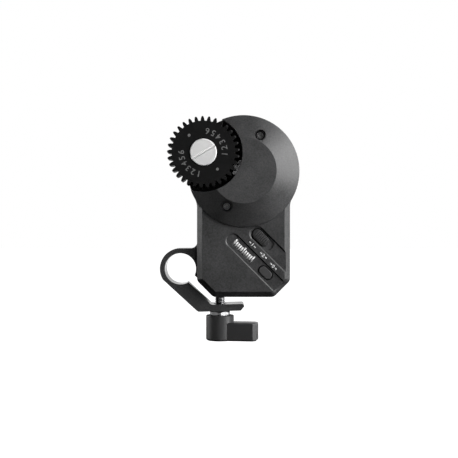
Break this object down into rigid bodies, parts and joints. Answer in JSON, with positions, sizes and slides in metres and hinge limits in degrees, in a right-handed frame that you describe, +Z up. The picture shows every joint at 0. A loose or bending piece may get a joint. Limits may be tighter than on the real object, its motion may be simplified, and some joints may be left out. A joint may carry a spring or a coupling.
{
  "type": "follow focus motor unit",
  "caption": "Geared motor unit that clamps to a 12 mm rod and turns a lens focus ring through its toothed drive gear.",
  "frame": {"origin": "on the axis of the rod bore, at the middle of the clamp's width", "axes": "+Y along the rod and the gear axes, from the front face to the back; +Z up from the clamp to the head; +X from the clamp to the body"},
  "size_m": [0.0551, 0.0311, 0.0895],
  "materials": {
    "housing": "fine textured anodised aluminium, dark grey",
    "clamp": "fine textured anodised aluminium, dark grey",
    "lever": "dark grey anodised aluminium, smooth",
    "gear_plastic": "black acetal, machined",
    "bright_steel": "turned and polished",
    "dark_screw": "black oxide",
    "bearing_steel": "ground",
    "gearbox_steel": "satin",
    "brass": "turned",
    "core_steel": "laminated",
    "magnet": "nickel plated",
    "switch_plastic": "dark grey moulded plastic",
    "black_part": "moulded",
    "circuit_board": "solder mask",
    "shield_metal": "tinned",
    "flex_film": "polyimide film"
  },
  "bodies": {
    "housing": {"front_housing": "housing", "head_cover": "housing", "head_cover_screws": "bright_steel", "rear_cover": "housing", "rear_cover_screws": "dark_screw", "clamp_base": "clamp", "clamp_base_screws": "dark_screw", "clamp_thread_insert": "brass", "spindle_bearings": "bearing_steel", "output_bearing": "bearing_steel", "gearbox_ring": "gearbox_steel", "gearbox_plate": "gearbox_steel", "motor_screws": "dark_screw", "motor_can": "gearbox_steel", "stator_core": "core_steel", "motor_bearings": "bearing_steel", "encoder_board": "circuit_board", "encoder_board_screws": "dark_screw", "main_board": "circuit_board", "board_screws": "dark_screw", "radio_module": "shield_metal", "board_connector": "black_part", "motor_flex_cable": "flex_film", "usb_c_socket": "shield_metal", "slide_switch_body": "black_part", "tact_switch": "black_part"},
    "output_gear": {"drive_gear": "gear_plastic", "gear_spindle": "bright_steel", "gear_pins": "bright_steel", "gear_screw": "bright_steel", "spindle_clip": "dark_screw"},
    "carrier": {"planet_carrier": "bearing_steel", "carrier_pins": "bearing_steel", "pinion": "bright_steel"},
    "planet_1": {"planet_gear_1": "bearing_steel"},
    "planet_2": {"planet_gear_2": "bearing_steel"},
    "planet_3": {"planet_gear_3": "bearing_steel"},
    "rotor": {"sun_gear": "bearing_steel", "rotor_shaft": "bearing_steel", "rotor_magnet": "magnet", "encoder_magnet": "magnet"},
    "slider": {"mode_slider": "switch_plastic"},
    "button": {"calibrate_button": "switch_plastic"},
    "washer": {"clamp_washer": "dark_screw"},
    "lever": {"clamp_screw": "bright_steel", "clamp_lever": "lever"},
    "jaw": {"clamp_jaw": "clamp"}
  },
  "joints": [
    {"name": "gear_spin", "type": "hinge", "parent": "housing", "child": "output_gear", "pos_m": [0.00945, -0.0145, 0.0454], "axis": [0, -1, 0], "continuous": true},
    {"name": "carrier_spin", "type": "hinge", "parent": "housing", "child": "carrier", "pos_m": [0.02545, -0.006, 0.0383], "axis": [0, -1, 0], "continuous": true},
    {"name": "planet_1_spin", "type": "hinge", "parent": "carrier", "child": "planet_1", "pos_m": [0.02545, -0.003, 0.04505], "axis": [0, -1, 0], "continuous": true},
    {"name": "planet_2_spin", "type": "hinge", "parent": "carrier", "child": "planet_2", "pos_m": [0.0196, -0.003, 0.03493], "axis": [0, -1, 0], "continuous": true},
    {"name": "planet_3_spin", "type": "hinge", "parent": "carrier", "child": "planet_3", "pos_m": [0.03129, -0.003, 0.03493], "axis": [0, -1, 0], "continuous": true},
    {"name": "rotor_spin", "type": "hinge", "parent": "housing", "child": "rotor", "pos_m": [0.02545, 0.003, 0.0383], "axis": [0, -1, 0], "continuous": true},
    {"name": "mode_slide", "type": "slide", "parent": "housing", "child": "slider", "axis": [0.7071, 0, -0.7071], "range_m": [0, 0.0016]},
    {"name": "calibrate_press", "type": "slide", "parent": "housing", "child": "button", "axis": [0, 1, 0], "range_m": [0, 0.0003], "stiffness_N_per_m": 2000},
    {"name": "clamp_screw_advance", "type": "slide", "parent": "housing", "child": "washer", "axis": [0, 0, 1], "range_m": [0, 0.00053]},
    {"name": "clamp_lever_turn", "type": "hinge", "parent": "washer", "child": "lever", "pos_m": [0.01568, 0, -0.02], "axis": [0, 0, 1], "range_deg": [0, 270]},
    {"name": "clamp_jaw_flex", "type": "hinge", "parent": "housing", "child": "jaw", "pos_m": [-0.0062, 0, 0], "axis": [0, -1, 0], "range_deg": [0, 1.75]}
  ],
  "couplings": [
    {"joint": "carrier_spin", "follows": "gear_spin", "ratio": -3.3},
    {"joint": "rotor_spin", "follows": "gear_spin", "ratio": -14.85},
    {"joint": "planet_1_spin", "follows": "gear_spin", "ratio": 9.24},
    {"joint": "planet_2_spin", "follows": "gear_spin", "ratio": 9.24},
    {"joint": "planet_3_spin", "follows": "gear_spin", "ratio": 9.24},
    {"joint": "clamp_screw_advance", "follows": "clamp_lever_turn", "m_per_rad": 0.00011141},
    {"joint": "clamp_jaw_flex", "follows": "clamp_lever_turn", "ratio": 0.0063662}
  ]
}
